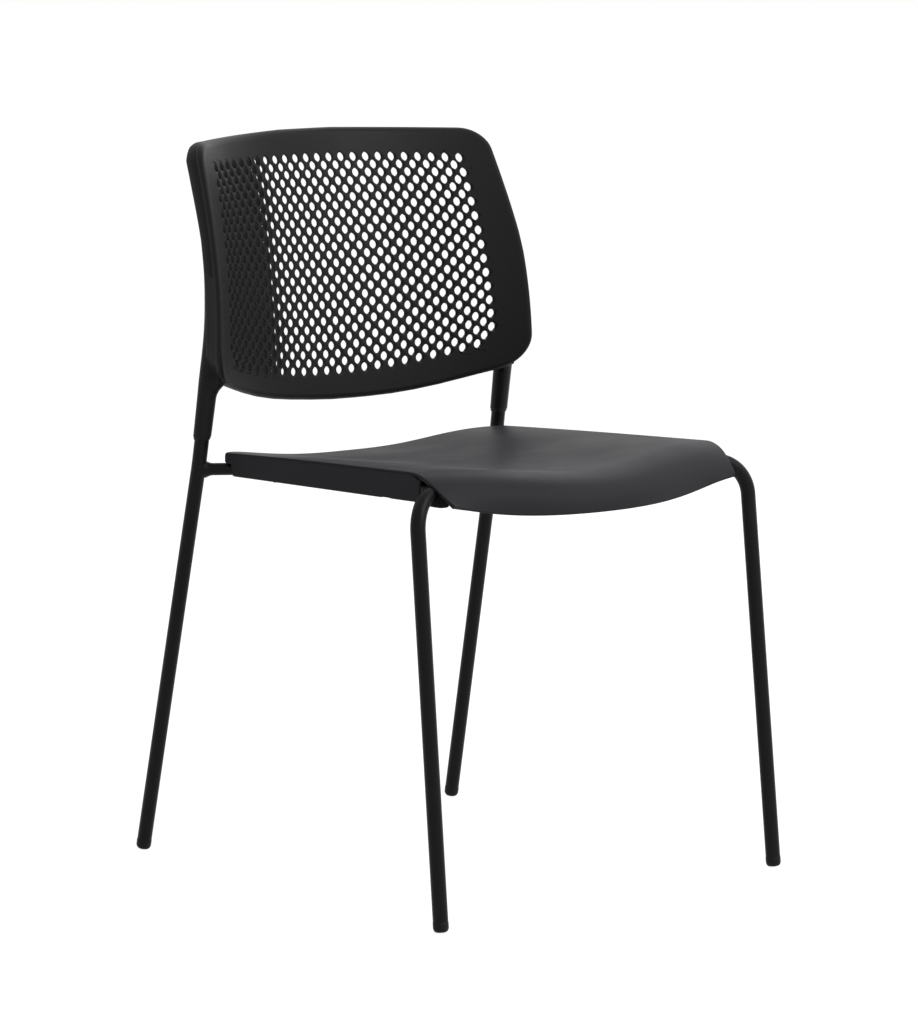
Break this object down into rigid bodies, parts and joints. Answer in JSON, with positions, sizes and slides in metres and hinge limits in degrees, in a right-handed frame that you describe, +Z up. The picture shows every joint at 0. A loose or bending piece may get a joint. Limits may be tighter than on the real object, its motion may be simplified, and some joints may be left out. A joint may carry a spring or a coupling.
{
  "type": "stacking chair",
  "caption": "Stacking side chair with a bent round-tube frame, a dished seat shell with a rolled front lip, and a curved perforated back panel.",
  "frame": {"origin": "on the floor, midway between the four feet", "axes": "+Z up, -Y the way the sitter faces, +X the sitter's left"},
  "size_m": [0.507, 0.554, 0.8144],
  "materials": {
    "tube_paint": "satin black powder coat",
    "seat_plastic": "fine matte grain",
    "panel_plastic": "fine matte grain",
    "back_frame_plastic": "fine matte grain",
    "glide_plastic": "smooth",
    "bumper_rubber": "matte",
    "screw_steel": "dull zinc"
  },
  "bodies": {
    "root": {"rear_leg_right": "tube_paint", "front_leg_rail_right": "tube_paint", "rear_glide_right": "glide_plastic", "front_glide_right": "glide_plastic", "front_bumper_right": "bumper_rubber", "rear_bumper_right": "bumper_rubber", "back_lock_screw_right": "screw_steel", "rear_leg_left": "tube_paint", "front_leg_rail_left": "tube_paint", "rear_glide_left": "glide_plastic", "front_glide_left": "glide_plastic", "front_bumper_left": "bumper_rubber", "rear_bumper_left": "bumper_rubber", "back_lock_screw_left": "screw_steel", "front_cross_tube": "tube_paint", "rear_cross_tube": "tube_paint", "seat_tab_front_right": "tube_paint", "seat_screw_front_right": "screw_steel", "seat_tab_front_left": "tube_paint", "seat_screw_front_left": "screw_steel", "seat_tab_rear_right": "tube_paint", "seat_screw_rear_right": "screw_steel", "seat_tab_rear_left": "tube_paint", "seat_screw_rear_left": "screw_steel", "seat_shell": "seat_plastic", "back_panel": "panel_plastic", "back_frame": "back_frame_plastic", "panel_screw_top_right": "screw_steel", "panel_screw_top_left": "screw_steel", "panel_screw_low_right": "screw_steel", "panel_screw_low_left": "screw_steel"}
  },
  "joints": []
}
